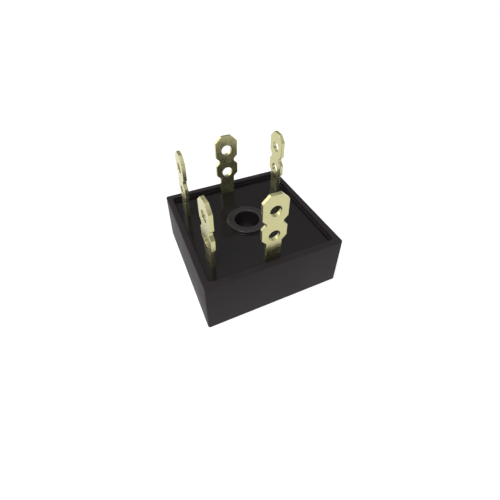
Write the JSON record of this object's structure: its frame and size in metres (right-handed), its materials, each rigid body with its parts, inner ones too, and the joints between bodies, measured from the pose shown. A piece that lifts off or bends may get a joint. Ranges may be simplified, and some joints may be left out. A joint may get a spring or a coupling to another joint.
{
  "type": "bridge rectifier",
  "caption": "Square potted three-phase rectifier block with a metal base, a through hole and upright blade terminals.",
  "frame": {"origin": "centre of the mounting hole on the mounting face", "axes": "+Z from the mounting face towards the terminal tips, +Y towards the middle phase terminal, +X towards the side with one terminal"},
  "size_m": [0.0286, 0.0286, 0.0252],
  "materials": {
    "case_plastic": "moulded, satin black",
    "resin": "cast, glossy black",
    "base_metal": "nickel plated, lightly brushed",
    "terminal_metal": "tin plated over brass, pale yellow, smooth",
    "ceramic": "fired alumina, off-white",
    "track_copper": "bare copper, stamped",
    "silicon": "polished, dark grey",
    "solder": "reflowed, dull grey"
  },
  "bodies": {
    "root": {"case": "case_plastic", "hole_sleeve": "case_plastic", "base_plate": "base_metal", "base_solder": "solder", "insulator": "ceramic", "track_solder": "solder", "positive_track": "track_copper", "negative_track": "track_copper", "chip_solder_lower": "solder", "chip_a_positive": "silicon", "chip_b_positive": "silicon", "chip_c_positive": "silicon", "chip_a_negative": "silicon", "chip_b_negative": "silicon", "chip_c_negative": "silicon", "chip_solder_upper": "solder", "clip_a": "track_copper", "clip_b": "track_copper", "clip_c": "track_copper", "terminal_solder": "solder", "terminal_a": "terminal_metal", "terminal_b": "terminal_metal", "terminal_c": "terminal_metal", "terminal_positive": "terminal_metal", "terminal_negative": "terminal_metal", "resin": "resin"}
  },
  "joints": []
}
